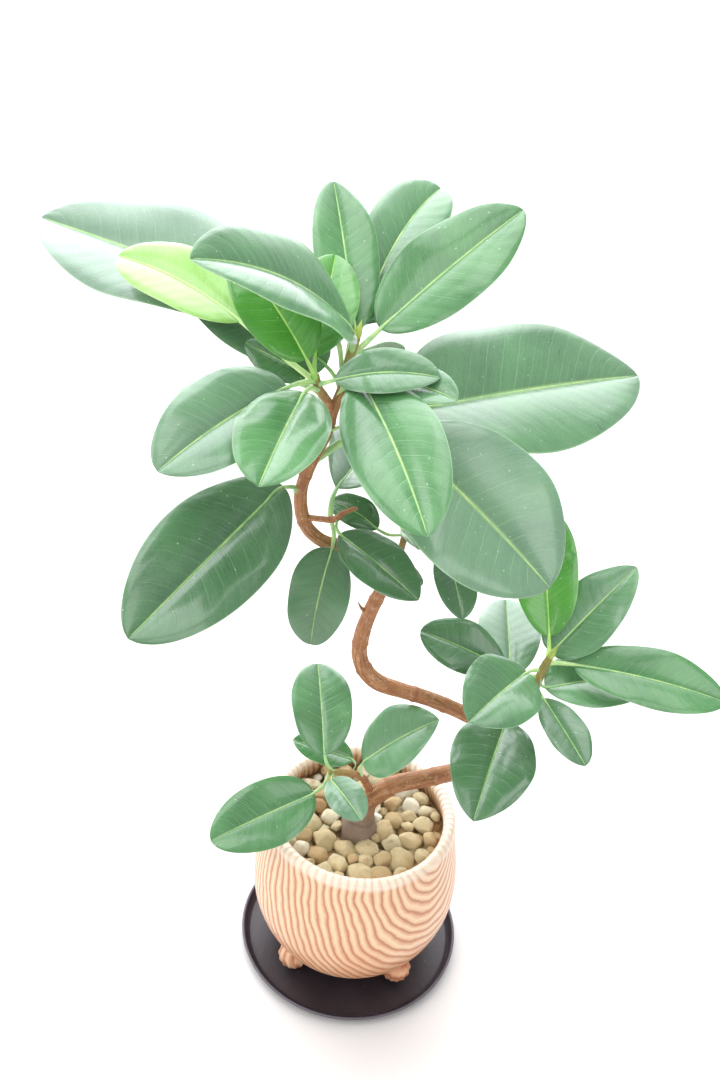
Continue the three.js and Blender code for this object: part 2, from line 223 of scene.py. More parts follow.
def fineNoise(tree, vector, scale, detail=4.0, roughness=0.55, distortion=0.0):
    inputs = {"Vector": vector, "Scale": scale, "Detail": detail, "Roughness": roughness,
              "Distortion": distortion}
    return addNode(tree, "ShaderNodeTexNoise", inputs).outputs["Fac"]


def objectPlace(tree):
    return addNode(tree, "ShaderNodeTexCoord").outputs["Object"]


def stored(tree, name):
    return addNode(tree, "ShaderNodeAttribute", attribute_name=name).outputs["Fac"]


def vectorMaths(tree, operation, *values, **named):
    made = addNode(tree, "ShaderNodeVectorMath", {**dict(enumerate(values)), **named}, operation=operation)
    return made.outputs["Value" if operation in ("LENGTH", "DOT_PRODUCT") else "Vector"]


def newGroup(name, inputs, outputs):
    tree = bpy.data.node_groups.new(name, "ShaderNodeTree")
    for label, kind, value in inputs:
        socket = tree.interface.new_socket(name=label, in_out="INPUT", socket_type="NodeSocket" + kind)
        if kind == "Float":
            socket.default_value = value
    for label, kind in outputs:
        tree.interface.new_socket(name=label, in_out="OUTPUT", socket_type="NodeSocket" + kind)
    start = tree.nodes.new("NodeGroupInput").outputs
    end = tree.nodes.new("NodeGroupOutput").inputs
    return tree, start, end


def useGroup(tree, group, **inputs):
    named = {key.replace("_", " "): value for key, value in inputs.items()}
    made = tree.nodes.new("ShaderNodeGroup")
    made.node_tree = group
    for key, value in named.items():
        if isinstance(value, bpy.types.NodeSocket):
            tree.links.new(value, made.inputs[key])
        else:
            made.inputs[key].default_value = value
    return made.outputs


def newMaterial(name, **sockets):
    material = bpy.data.materials.new(name)
    material.use_nodes = True
    tree = material.node_tree
    shader = tree.nodes["Principled BSDF"]
    for key, value in sockets.items():
        shader.inputs[key.replace("_", " ")].default_value = value
    return material, tree, shader


def feed(tree, shader, base=None, rough=None, height=None, distance=0.0005, strength=1.0):
    if base is not None:
        tree.links.new(base, shader.inputs["Base Color"])
    if rough is not None:
        tree.links.new(rough, shader.inputs["Roughness"])
    if height is not None:
        inputs = {"Height": height, "Distance": distance, "Strength": strength}
        bump = addNode(tree, "ShaderNodeBump", inputs)
        tree.links.new(bump.outputs["Normal"], shader.inputs["Normal"])


# shared effects, each built once
def makeMottle():
    tree, start, end = newGroup("mottle", [("Vector", "Vector", 0), ("Scale", "Float", 40.0),
                                           ("Contrast", "Float", 0.2)],
                                [("Value", "Float"), ("Grain", "Float")])
    broad = fineNoise(tree, start["Vector"], start["Scale"], 3.0)
    low = maths(tree, "SUBTRACT", 0.5, start["Contrast"])
    high = maths(tree, "ADD", 0.5, start["Contrast"])
    tree.links.new(fade(tree, broad, low, high), end["Value"])
    small = maths(tree, "MULTIPLY", start["Scale"], 14.0)
    tree.links.new(fineNoise(tree, start["Vector"], small, 3.0, 0.6), end["Grain"])
    return tree


def makeSpecks():
    tree, start, end = newGroup("specks", [("Vector", "Vector", 0), ("Scale", "Float", 400.0),
                                           ("Size", "Float", 0.12), ("Share", "Float", 0.3)],
                                [("Mask", "Float")])
    cells = addNode(tree, "ShaderNodeTexVoronoi", {"Vector": start["Vector"], "Scale": start["Scale"]})
    dot = maths(tree, "LESS_THAN", cells.outputs["Distance"], start["Size"])
    parts = addNode(tree, "ShaderNodeSeparateColor", {"Color": cells.outputs["Color"]})
    chosen = maths(tree, "LESS_THAN", parts.outputs["Red"], start["Share"])
    tree.links.new(maths(tree, "MULTIPLY", dot, chosen), end["Mask"])
    return tree


def makeLeafVeins():
    tree, start, end = newGroup("leafVeins", [("UV", "Vector", 0), ("Pairs", "Float", 12.0),
                                              ("Slant", "Float", 0.13), ("Arch", "Float", 0.03),
                                              ("Width", "Float", 0.045)],
                                [("Side", "Float"), ("Faint", "Float"), ("Net", "Float"),
                                 ("Quilt", "Float"), ("Silk", "Float"), ("Away", "Float")])
    parts = addNode(tree, "ShaderNodeSeparateXYZ", {"Vector": start["UV"]}).outputs
    across = maths(tree, "SUBTRACT", parts["Y"], 0.5)
    away = maths(tree, "MULTIPLY", maths(tree, "ABSOLUTE", across), 2.0)
    cube = maths(tree, "POWER", away, 3.0)
    bent = maths(tree, "MULTIPLY_ADD", away, start["Slant"], maths(tree, "MULTIPLY", cube, start["Arch"]))
    wander = fineNoise(tree, start["UV"], 7.0, 2.0)
    moved = maths(tree, "MULTIPLY_ADD", wander, 0.022, maths(tree, "SUBTRACT", parts["X"], bent))
    side = maths(tree, "MULTIPLY", maths(tree, "GREATER_THAN", across, 0.0), 0.47)
    phase = maths(tree, "MULTIPLY_ADD", moved, start["Pairs"], side)
    nearest = maths(tree, "ABSOLUTE", maths(tree, "SUBTRACT", maths(tree, "FRACT", phase), 0.5))
    halfway = maths(tree, "SUBTRACT", 0.5, nearest)
    thin = maths(tree, "MULTIPLY", start["Width"], maths(tree, "SUBTRACT", 1.15, away))
    inner = fade(tree, away, 0.88, 0.97, 1.0, 0.0)
    main = maths(tree, "MULTIPLY", fade(tree, nearest, 0.0, thin, 1.0, 0.0), inner)
    tree.links.new(main, end["Side"])
    tree.links.new(maths(tree, "MULTIPLY", fade(tree, halfway, 0.0, thin, 1.0, 0.0), inner), end["Faint"])
    stretched = vectorMaths(tree, "MULTIPLY", start["UV"], (46.0, 26.0, 1.0))
    cells = addNode(tree, "ShaderNodeTexVoronoi", {"Vector": stretched, "Scale": 1.0},
                    feature="DISTANCE_TO_EDGE").outputs["Distance"]
    tree.links.new(fade(tree, cells, 0.0, 0.09, 1.0, 0.0), end["Net"])
    tree.links.new(fade(tree, nearest, 0.0, 0.5), end["Quilt"])
    threads = {"X": maths(tree, "MULTIPLY", moved, 95.0), "Y": maths(tree, "MULTIPLY", away, 2.6),
               "Z": maths(tree, "MULTIPLY", side, 9.0)}
    threadPlace = addNode(tree, "ShaderNodeCombineXYZ", threads).outputs["Vector"]
    tree.links.new(fineNoise(tree, threadPlace, 1.0, 3.0, 0.6), end["Silk"])
    tree.links.new(away, end["Away"])
    return tree


mottle = makeMottle()
specks = makeSpecks()
leafVeins = makeLeafVeins()
print("shared effects built")


# leaf finishes: top, underside, margin and rib, in the order of the mesh's material slots
leafFinishes = {
    "leaf_lime": {"deep": "#7db548", "pale": "#9bcc6c", "vein": "#c9efa0", "rib": "#dcf2ac",
                  "under": "#a9cf84", "margin": "#cdeaa4", "gloss": 0.27},
    "leaf_fresh": {"deep": "#2f7f0e", "pale": "#479a1c", "vein": "#86cc58", "rib": "#c8e486",
                   "under": "#7fae62", "margin": "#a9d68a", "gloss": 0.24},
    "leaf_mature": {"deep": "#336d36", "pale": "#4f8c4d", "vein": "#8cbd84", "rib": "#c6e296",
                    "under": "#8fa98a", "margin": "#b4d2ac", "gloss": 0.22},
    "leaf_dark": {"deep": "#255828", "pale": "#396f38", "vein": "#75a86e", "rib": "#b4d688",
                  "under": "#8aa281", "margin": "#a4c49c", "gloss": 0.22},
}
# grey-green mixed over a leaf's top by its leafTone: partly waxy bloom, partly painted sheen of reflected
# light
bloomAndSheenGreyGreen = "#7d9186"


def makeLeafTop(name, look):
    material, tree, shader = newMaterial(name + "_top", Coat_Weight=0.8, Coat_Roughness=0.15)
    uv = addNode(tree, "ShaderNodeUVMap").outputs["UV"]
    place = objectPlace(tree)
    tone = stored(tree, "leafTone")
    pairs = stored(tree, "veinPairs")
    veins = useGroup(tree, leafVeins, UV=uv, Pairs=pairs)
    patch = useGroup(tree, mottle, Vector=place, Scale=30.0, Contrast=0.28)
    base = mixed(tree, patch["Value"], colour(look["deep"]), colour(look["pale"]))
    # partly waxy bloom, partly painted sheen: the per-leaf grey-green
    base = mixed(tree, tone, base, colour(bloomAndSheenGreyGreen))
    # painted sheen streaks: pale streaks along the side veins; the same streaks also vary roughness and bump
    base = mixed(tree, fade(tree, veins["Silk"], 0.35, 0.7, 0.0, 0.09), base, colour(look["vein"]))
    base = tint(tree, base, veins["Net"], 0.08, look["vein"])
    base = tint(tree, base, veins["Faint"], 0.10, look["vein"])
    base = tint(tree, base, veins["Side"], 0.34, look["vein"])
    near = fade(tree, veins["Away"], 0.010, 0.045, 0.4, 0.0)
    base = mixed(tree, near, base, colour(look["rib"]))
    edge = fade(tree, veins["Away"], 0.972, 0.995, 0.0, 0.35)
    base = mixed(tree, edge, base, colour(look["margin"]))
    spots = useGroup(tree, specks, Vector=place, Scale=330.0, Size=0.13, Share=0.12)
    base = tint(tree, base, spots["Mask"], 0.4, "#d7e6cf")
    rough = maths(tree, "MULTIPLY_ADD", patch["Value"], 0.09, look["gloss"])
    rough = maths(tree, "MULTIPLY_ADD", veins["Silk"], 0.10, rough)
    height = maths(tree, "MULTIPLY_ADD", veins["Side"], -0.22, maths(tree, "MULTIPLY", veins["Quilt"], 0.22))
    height = maths(tree, "MULTIPLY_ADD", veins["Net"], -0.05, height)
    height = maths(tree, "MULTIPLY_ADD", veins["Silk"], 0.24, height)
    height = maths(tree, "MULTIPLY_ADD", patch["Grain"], 0.06, height)
    feed(tree, shader, base, rough, height, 0.00045)
    return material


def makeLeafUnder(name, look):
    material, tree, shader = newMaterial(name + "_under")
    uv = addNode(tree, "ShaderNodeUVMap").outputs["UV"]
    place = objectPlace(tree)
    pairs = stored(tree, "veinPairs")
    veins = useGroup(tree, leafVeins, UV=uv, Pairs=pairs, Width=0.09)
    patch = useGroup(tree, mottle, Vector=place, Scale=45.0, Contrast=0.3)
    shade = mixed(tree, 0.25, colour(look["under"]), colour(look["deep"]))
    base = mixed(tree, patch["Value"], shade, colour(look["under"]))
    base = tint(tree, base, veins["Side"], 0.55, look["rib"])
    base = tint(tree, base, veins["Net"], 0.3, look["vein"])
    rough = maths(tree, "MULTIPLY_ADD", patch["Grain"], 0.2, 0.42)
    height = maths(tree, "MULTIPLY_ADD", veins["Side"], 0.7, maths(tree, "MULTIPLY", veins["Net"], 0.25))
    feed(tree, shader, base, rough, height, 0.0004)
    return material


def makeLeafEdge(name, part, low, high):
    material, tree, shader = newMaterial(name + "_" + part)
    place = objectPlace(tree)
    patch = useGroup(tree, mottle, Vector=place, Scale=160.0, Contrast=0.3)
    base = mixed(tree, patch["Value"], colour(low), colour(high))
    rough = maths(tree, "MULTIPLY_ADD", patch["Value"], 0.12, 0.34)
    feed(tree, shader, base, rough, patch["Grain"], 0.0002)
    return material


leafMaterials = {}
for slot, look in leafFinishes.items():
    leafMaterials[slot] = [makeLeafTop(slot, look), makeLeafUnder(slot, look),
                           makeLeafEdge(slot, "margin", look["margin"], look["vein"]),
                           makeLeafEdge(slot, "rib", look["rib"], look["vein"])]
print("leaf finishes built")


# shapes read from the CAD nodes
def ringsFrom(node):
    # the longest run of eight-sided rings that starts at one of the node's poles, and what is left past it
    mesh = bmesh.new()
    mesh.from_mesh(frame["nodes"][node].data)
    bmesh.ops.remove_doubles(mesh, verts=mesh.verts, dist=0.00002)
    best = []
    for pole in [v for v in mesh.verts if len(v.link_edges) == 8]:
        seen = {pole}
        rings = [[pole]]
        while True:
            near = {e.other_vert(v) for v in rings[-1] for e in v.link_edges} - seen
            if len(near) != 8:
                break
            seen |= near
            rings.append(list(near))
        if len(rings) > len(best):
            best = rings
            rest = [v.co.copy() for v in mesh.verts if v not in seen]
    found = [np.array([tuple(v.co) for v in ring]) for ring in best]
    mesh.free()
    return found, rest


def middle(points):
    return np.mean(np.array([tuple(p) for p in points]), axis=0)


def unit(vector):
    return vector / np.linalg.norm(vector)


# tubes: a grid wrapped round stations, each with a centre, two axes and two half sizes
def carried(points, radii):
    stations = []
    points = [np.array(p, float) for p in points]
    side = None
    for i, point in enumerate(points):
        ahead = unit(points[min(i + 1, len(points) - 1)] - points[max(i - 1, 0)])
        if side is None:
            side = unit(np.cross(ahead, (0.3, 1.0, 0.2)))
        side = unit(side - ahead * np.dot(side, ahead))
        stations.append({"centre": point, "across": side, "up": np.cross(side, ahead),
                         "wide": radii[i], "thick": radii[i]})
    return stations


def throughPoints(p, f):
    # Catmull-Rom: f runs from the second to the third of four points
    return 0.5 * (2 * p[1] + (p[2] - p[0]) * f + (2 * p[0] - 5 * p[1] + 4 * p[2] - p[3]) * f * f
                  + (3 * p[1] - p[0] - 3 * p[2] + p[3]) * f ** 3)


def between(stations, key, t):
    last = len(stations) - 1
    i = min(int(t * last), last - 1)
    f = t * last - i
    p = [stations[min(max(i + k, 0), last)][key] for k in (-1, 0, 1, 2)]
    return throughPoints(p, f)


def tube(name, stations, rows, sides, shape=None):
    piece = gridPiece(name, rows, sides)

    def place(u, v):
        u = round(u * rows) / rows
        angle = round(v * sides) / sides * 2 * math.pi
        grow = shape(u, angle) if shape else 1.0
        centre = between(stations, "centre", u)
        across = unit(between(stations, "across", u))
        up = unit(between(stations, "up", u))
        wide = max(between(stations, "wide", u), 0.00004) * grow
        thick = max(between(stations, "thick", u), 0.00004) * grow
        return Vector(centre + across * wide * math.cos(angle) + up * thick * math.sin(angle))

    moveVertices(piece, place)
    length = sum(np.linalg.norm(b["centre"] - a["centre"]) for a, b in zip(stations, stations[1:]))
    remapUv(piece, lambda u: u * length * 10)      # one unit of U is 100 mm
    cleanUp(piece, closeEnds=True, outward=True, merge=0.00001)
    return piece


# leaves
leafSettings = {
    "rows": 56, "columns": 20,
    "thickness": 0.65 * mm,
    "fold": 0.20, "belly": 0.060,            # rise of the margin and of the half's middle, in half widths
    "ripple": 0.045,                         # height of the margin's waves, in half widths
    "ribTop": 0.35 * mm,                     # how far the midrib stands over the blade
    "intoStem": 2.5 * mm,
    "bladeRings": 9,
    "firstRing": 0.02, "ringSpan": 0.965,    # where the blade's rings start and how much of it they cover
}
leafTones = {                                # 0 is the plain finish, 1 is a grey-green that is partly waxy bloom and partly painted sheen
    "leaf_top_far_left": 0.6, "leaf_fork_left": 0.4, "leaf_top_back": 0.5, "leaf_top_back_right": 0.2,
    "leaf_crown_right_long": 0.25, "leaf_fork_right_broad": 0.45, "leaf_left_low": 0.4,
    "leaf_twig_back": 0.5, "leaf_right_back": 0.45, "leaf_right_raised": 0.2, "leaf_low_front": 0.4,
    "leaf_fork_front": 0.05, "leaf_top_right": 0.05, "leaf_back_small": 0.3, "leaf_left_round": 0.0,
}


def readLeaf(node):
    rings, rest = ringsFrom(node)
    rings = rings[1:][::-1]                  # stalk first, tip last
    blade = rings[-leafSettings["bladeRings"]:]
    stalk = rings[:-leafSettings["bladeRings"]]
    along = unit(middle(blade[-1]) - middle(blade[0]))
    rows = []
    for ring in blade:
        gaps = np.linalg.norm(ring[:, None] - ring[None], axis=2)
        a, b = np.unravel_index(gaps.argmax(), gaps.shape)
        across = unit(ring[b] - ring[a])
        sides = (ring - (ring[a] + ring[b]) / 2) @ across
        centre = middle(ring[np.argsort(abs(sides))[:2]])
        rows.append([centre, across, (ring[a] + ring[b]) / 2 - centre, gaps.max() / 2])
    widest = max(rows, key=lambda row: row[3])
    up = unit(widest[2])
    for i in range(len(rows)):
        if np.dot(np.cross(along, up), rows[i][1]) < 0:
            rows[i][1] = -rows[i][1]
    centres = np.array([row[0] for row in rows])
    steps = np.concatenate([[0], np.cumsum(np.linalg.norm(np.diff(centres, axis=0), axis=1))])
    s = leafSettings["firstRing"] + leafSettings["ringSpan"] * steps / steps[-1]
    return {"s": s, "centres": centres, "across": np.array([row[1] for row in rows]), "up": up,
            "half": np.array([row[3] for row in rows]), "length": steps[-1] / leafSettings["ringSpan"],
            "stalk": [middle(ring) for ring in stalk], "start": middle(rest)}


def leafShape(leaf):
    centreFit = [np.polyfit(leaf["s"], leaf["centres"][:, k], 4) for k in range(3)]
    acrossFit = [np.polyfit(leaf["s"][1:], leaf["across"][1:, k], 3) for k in range(3)]
    s, half = leaf["s"][1:-1], leaf["half"][1:-1]
    terms = np.stack([np.ones(len(s)), np.log(s), np.log(1 - s)], axis=1)
    size, base, tip = np.linalg.lstsq(terms, np.log(half), rcond=None)[0]

    def at(t):
        centre = np.array([np.polyval(fit, t) for fit in centreFit])
        ahead = unit(np.array([np.polyval(np.polyder(fit), t) for fit in centreFit]))
        across = np.array([np.polyval(fit, t) for fit in acrossFit])
        across = unit(across - ahead * np.dot(across, ahead))
        width = math.exp(size) * t ** base * (1 - t) ** tip if 0 < t < 1 else 0.0
        return centre, across, np.cross(across, ahead), width, ahead

    return at


def makeLeaf(node):
    chance = random.Random(node)
    leaf = readLeaf(node)
    at = leafShape(leaf)
    rows, columns = leafSettings["rows"], leafSettings["columns"]
    waves = chance.uniform(1.6, 2.6)
    turns = [chance.uniform(0, 2 * math.pi) for i in range(4)]
    ripple = leafSettings["ripple"] * chance.uniform(0.6, 1.3)
    belly = leafSettings["belly"] * chance.uniform(0.7, 1.2)
    spacing = lambda u: 0.5 * u + 0.25 * (1 - np.cos(np.pi * u))
    frames = [at(spacing(i / rows)) for i in range(rows + 1)]
    sign = 1 if np.dot(frames[rows // 2][2], leaf["up"]) > 0 else -1

    def place(u, v):
        i = min(max(round(u * rows), 0), rows)
        centre, across, up, width, ahead = frames[i]
        side = round((v - 0.5) * columns) / columns * 2
        away = abs(side)
        t = spacing(i / rows)
        wave = math.sin(2 * math.pi * waves * t + turns[0 if side > 0 else 1]) * away ** 2.2
        swell = 1 + 0.018 * math.sin(9 * t + turns[2 if side > 0 else 3])
        rise = leafSettings["fold"] * away + belly * math.sin(math.pi * away ** 0.8) + ripple * wave
        rolled = -0.05 * max(away - 0.86, 0) / 0.14
        groove = -0.00025 * math.exp(-(away * width / 0.0012) ** 2)
        spot = centre + across * side * width * swell + up * sign * ((rise + rolled) * width + groove)
        if t > 0.9:
            spot = spot + up * sign * -0.06 * (t - 0.9) ** 2 * leaf["length"]
        return Vector(spot)

    blade = gridPiece(node + "_blade", rows, columns)
    moveVertices(blade, place)
    remapUv(blade, spacing)
    cleanUp(blade, merge=0.00001)
    face = blade.data.polygons[len(blade.data.polygons) // 2]
    if np.dot(np.array(face.normal), frames[rows // 2][2] * sign) < 0:
        blade.data.flip_normals()
    giveMaterials(blade, *leafMaterials[slotOf[node]])
    useModifier(blade, "SOLIDIFY", thickness=leafSettings["thickness"], offset=-1.0, material_offset=1,
                material_offset_rim=2, use_even_offset=False)
    rib = makeRib(node, leaf, at, sign)
    whole = joined(node + "_leaf", [blade, rib])
    pointValue(whole, "leafTone", leafTones.get(node, chance.uniform(0.0, 0.22)))
    pointValue(whole, "veinPairs", 6.5 + 48 * leaf["length"] + chance.uniform(-0.6, 0.6))
    return finished(whole, [node], 50)


def makeRib(node, leaf, at, sign):
    stalkPoints = [leaf["start"], *leaf["stalk"]]
    into = unit(stalkPoints[0] - stalkPoints[1]) if len(stalkPoints) > 1 else np.zeros(3)
    stalkPoints.insert(0, stalkPoints[0] + into * leafSettings["intoStem"])
    first = at(0.03)
    stations = []
    thickness = (0.8 + 6 * leaf["length"]) * mm
    for i, point in enumerate(stalkPoints):
        radius = thickness * (1.25 if i < 2 else 1.05)
        stations.append({"centre": point, "across": first[1], "up": first[2] * sign,
                         "wide": radius, "thick": radius})
    steps = 9
    for i in range(steps + 1):
        t = 0.03 + 0.95 * i / steps
        centre, across, up, width, ahead = at(t)
        wide = thickness * (0.78 - 0.62 * t ** 0.6)
        thick = thickness * (0.95 - 0.72 * t ** 0.6)
        low = thick - leafSettings["ribTop"] * (1 - t) ** 0.5
        stations.append({"centre": centre - up * sign * low * min(1, t / 0.1), "across": across,
                         "up": up * sign, "wide": wide, "thick": thick})
    rib = tube(node + "_rib", stations, 44, 10)
    giveMaterials(rib, *leafMaterials[slotOf[node]])
    for face in rib.data.polygons:
        face.material_index = 3
    return rib


leafNodes = sorted(node for node in frame["nodes"] if node.startswith("leaf_"))
leaves = [makeLeaf(node) for node in leafNodes]
print("leaves modelled:", len(leaves))


# bark
barkLook = {"deep": "#84502c", "pale": "#b58558", "red": "#9c5a36", "pore": "#d8bb98", "old": "#84786d",
            "green": "#8f9a4e"}


def makeBark():
    material, tree, shader = newMaterial("bark")
    uv = addNode(tree, "ShaderNodeUVMap").outputs["UV"]
    place = objectPlace(tree)
    young = stored(tree, "young")
    scar = stored(tree, "scar")
    parts = addNode(tree, "ShaderNodeSeparateXYZ", {"Vector": uv}).outputs
    turn = maths(tree, "MULTIPLY", parts["Y"], 2 * math.pi)
    circle = {"X": maths(tree, "COSINE", turn), "Y": maths(tree, "SINE", turn),
              "Z": maths(tree, "MULTIPLY", parts["X"], 2.4)}
    grainPlace = addNode(tree, "ShaderNodeCombineXYZ", circle).outputs["Vector"]
    streaks = fineNoise(tree, grainPlace, 3.2, 6.0, 0.62, 0.3)
    patch = useGroup(tree, mottle, Vector=place, Scale=55.0, Contrast=0.22)
    base = mixed(tree, fade(tree, streaks, 0.34, 0.64), colour(barkLook["deep"]), colour(barkLook["pale"]))
    base = tint(tree, base, patch["Value"], 0.45, barkLook["red"])
    ringPlace = vectorMaths(tree, "MULTIPLY", grainPlace, (1.0, 1.0, 9.0))
    rings = fineNoise(tree, ringPlace, 1.3, 3.0)
    base = mixed(tree, fade(tree, rings, 0.52, 0.72, 0.0, 0.35), base, colour(barkLook["pore"]))
    pores = useGroup(tree, specks, Vector=place, Scale=420.0, Size=0.2, Share=0.22)
    base = tint(tree, base, pores["Mask"], 0.6, barkLook["pore"])
    base = tint(tree, base, scar, 0.55, barkLook["deep"])
    height = addNode(tree, "ShaderNodeSeparateXYZ", {"Vector": place}).outputs["Z"]
    foot = fade(tree, height, 0.118, 0.140, 0.85, 0.0)
    base = mixed(tree, foot, base, colour(barkLook["old"]))
    base = tint(tree, base, young, 0.8, barkLook["green"])
    rough = maths(tree, "MULTIPLY_ADD", streaks, 0.25, 0.48)
    relief = maths(tree, "MULTIPLY_ADD", pores["Mask"], 0.5, streaks)
    relief = maths(tree, "MULTIPLY_ADD", rings, 0.6, relief)
    feed(tree, shader, base, rough, relief, 0.0006)
    return material


bark = makeBark()
stemSettings = {
    "trunk": {"rows": 420, "sides": 28, "scars": 17, "young": (0.93, 1.0)},
    "left_fork": {"rows": 40, "sides": 18, "scars": 3, "young": (0.2, 1.1)},
    "side_twig": {"rows": 50, "sides": 16, "scars": 3, "young": (1.2, 1.3)},
    "back_twig": {"rows": 40, "sides": 16, "scars": 2, "young": (0.3, 1.2)},
    "right_branch": {"rows": 90, "sides": 18, "scars": 5, "young": (0.4, 1.1)},
    "low_twig": {"rows": 50, "sides": 18, "scars": 3, "young": (0.5, 1.2)},
}


def makeStem(node, settings):
    chance = random.Random(node)
    rings, rest = ringsFrom(node)
    centres = [middle(ring) for ring in rings[1:]]
    radii = [np.mean(np.linalg.norm(ring - middle(ring), axis=1)) for ring in rings[1:]]
    if node != "trunk":
        centres.append(middle(rest))         # the cut end, then on into the stem it grows from
        radii.append(radii[-1])
        centres.append(centres[-1] + unit(centres[-1] - centres[-2]) * 3 * mm)
        radii.append(radii[-1])
        centres, radii = centres[::-1], radii[::-1]
    stations = carried(centres, [radius * 1.02 for radius in radii])
    scars = [(i + chance.uniform(0.2, 0.8)) / settings["scars"] for i in range(settings["scars"])]
    steps = [np.linalg.norm(b - a) for a, b in zip(centres, centres[1:])]
    length = sum(steps)

    def scarAt(u):
        return sum(math.exp(-((u - scar) * length / (1.1 * mm)) ** 2) for scar in scars)

    def shape(u, angle):
        ringSwell = 0.10 * scarAt(u)
        lumps = 0.07 * noise.noise(Vector((math.cos(angle), math.sin(angle), u * length * 90)))
        ridges = 0.0
        if node == "trunk":
            ridges = 0.09 * math.exp(-(u / 0.06) ** 2) * math.sin(5 * angle + 9 * u)
        return 1 + ringSwell + lumps + ridges

    piece = tube(node + "_bark", stations, settings["rows"], settings["sides"], shape)
    low, high = settings["young"]
    along = np.array([between(stations, "centre", i / 200) for i in range(201)])
    spots = np.array([tuple(v.co) for v in piece.data.vertices])
    nearest = np.array([np.argmin(np.sum((along - spot) ** 2, axis=1)) for spot in spots]) / 200
    pointValue(piece, "young", np.clip((nearest - low) / (high - low), 0, 1))
    pointValue(piece, "scar", [min(scarAt(u), 1) for u in nearest])
    piece.data.materials.append(bark)
    return finished(piece, [node], 60)


for node, settings in stemSettings.items():
    makeStem(node, settings)


# thorn: the short dry stub on the trunk's middle bend
thornSettings = {"height": 0.284, "reach": 5.5 * mm, "radius": 1.3 * mm, "towards": (-0.9, -0.25, 0.35)}


def makeThorn():
    rings, rest = ringsFrom("trunk")
    heights = [abs(middle(ring)[2] - thornSettings["height"]) for ring in rings[1:]]
    ring = rings[1 + int(np.argmin(heights))]
    way = unit(np.array(thornSettings["towards"]))
    skin = middle(ring) + way * np.linalg.norm(ring[0] - middle(ring)) * 0.7
    points = [skin + way * thornSettings["reach"] * i / 4 + np.array((0, 0, 0.0003 * i * i))
              for i in range(5)]
    sizes = [1.3, 0.95, 0.7, 0.45, 0.1]
    stations = carried(points, [thornSettings["radius"] * size for size in sizes])
    thorn = tube("thorn_stub", stations, 20, 12, lambda u, angle: 1 + 0.12 * math.sin(3 * angle + 7 * u))
    pointValue(thorn, "young", 0.0)
    pointValue(thorn, "scar", 0.8)
    thorn.data.materials.append(bark)
    return finished(thorn)


makeThorn()
print("stems modelled")


# buds: the pointed sheath at each growing end
budSettings = {"profile": [0.75, 1.0, 1.12, 1.0, 0.78, 0.5, 0.24, 0.06], "twist": 0.25}


def makeBudSkin():
    material, tree, shader = newMaterial("budSkin", Coat_Weight=0.1)
    place = objectPlace(tree)
    patch = useGroup(tree, mottle, Vector=place, Scale=120.0, Contrast=0.25)
    base = mixed(tree, patch["Value"], colour("#8fae3c"), colour("#c3cf6b"))
    base = mixed(tree, fade(tree, patch["Grain"], 0.55, 0.7, 0.0, 0.4), base, colour("#a8643a"))
    rough = maths(tree, "MULTIPLY_ADD", patch["Grain"], 0.15, 0.34)
    feed(tree, shader, base, rough, patch["Grain"], 0.0003)
    return material


budSkin = makeBudSkin()


def makeBud(node):
    corners = np.array([tuple(v.co) for v in frame["nodes"][node].data.vertices])
    centre = middle(corners)
    spread = np.linalg.svd(corners - centre)[2][0]
    reach = (corners - centre) @ spread
    radius = np.max(np.linalg.norm(corners - centre - np.outer(reach, spread), axis=1))
    tip = spread * (1 if abs(reach.max()) > abs(reach.min()) else -1)
    ends = [centre - tip * min(abs(reach.max()), abs(reach.min())), centre + tip * max(abs(reach))]
    ends[0] = ends[0] - tip * 1.5 * mm
    profile = budSettings["profile"]
    points = [ends[0] + (ends[1] - ends[0]) * i / (len(profile) - 1) for i in range(len(profile))]
    stations = carried(points, [radius * size for size in profile])
    keel = lambda u, angle: 1 + 0.08 * math.cos(2 * angle + 4 * budSettings["twist"] * u) * (1 - u)
    piece = tube(node + "_sheath", stations, 30, 20, keel)
    piece.data.materials.append(budSkin)
    return finished(piece, [node], 60)


for node in ("bud_top", "bud_back", "bud_right"):
    makeBud(node)
print("buds modelled")


# turned pieces: a circle extruded ring by ring along a profile of radius and height
def turnedPiece(name, profile, sides):
    radius, height = profile[0]
    bpy.ops.mesh.primitive_circle_add(vertices=sides, radius=radius, location=(0, 0, height))
    piece = newPiece(name)
    placeOf(piece)
    bpy.ops.object.mode_set(mode="EDIT")
    bpy.ops.mesh.select_all(action="SELECT")
    for nextRadius, nextHeight in profile[1:]:
        rise = {"value": (0, 0, nextHeight - height)}
        bpy.ops.mesh.extrude_region_move(TRANSFORM_OT_translate=rise)
        factor = nextRadius / radius
        bpy.ops.transform.resize(value=(factor, factor, 1), center_override=(0, 0, nextHeight))
        radius, height = nextRadius, nextHeight
    bpy.ops.object.mode_set(mode="OBJECT")
    return piece


def rounded(points, per):
    # the same curve through a profile's points
    profile = []
    for i in range(len(points) - 1):
        p = [np.array(points[min(max(i + k, 0), len(points) - 1)], float) for k in (-1, 0, 1, 2)]
        for j in range(per):
            profile.append(tuple(throughPoints(p, j / per)))
    profile.append(points[-1])
    return profile


# pot
potLow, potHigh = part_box("pot")
potSettings = {
    "sides": 120,
    "feet": 4, "firstFoot": -47.0, "footCircle": 49 * mm, "footRadius": 10 * mm, "flutes": 7,
    "drain": 6 * mm,
    "grainEye": -40.0, "grainTop": 0.132, "grainStretch": 0.72, "grainSpacing": 5.4 * mm,
    "grainWander": 0.014,
}


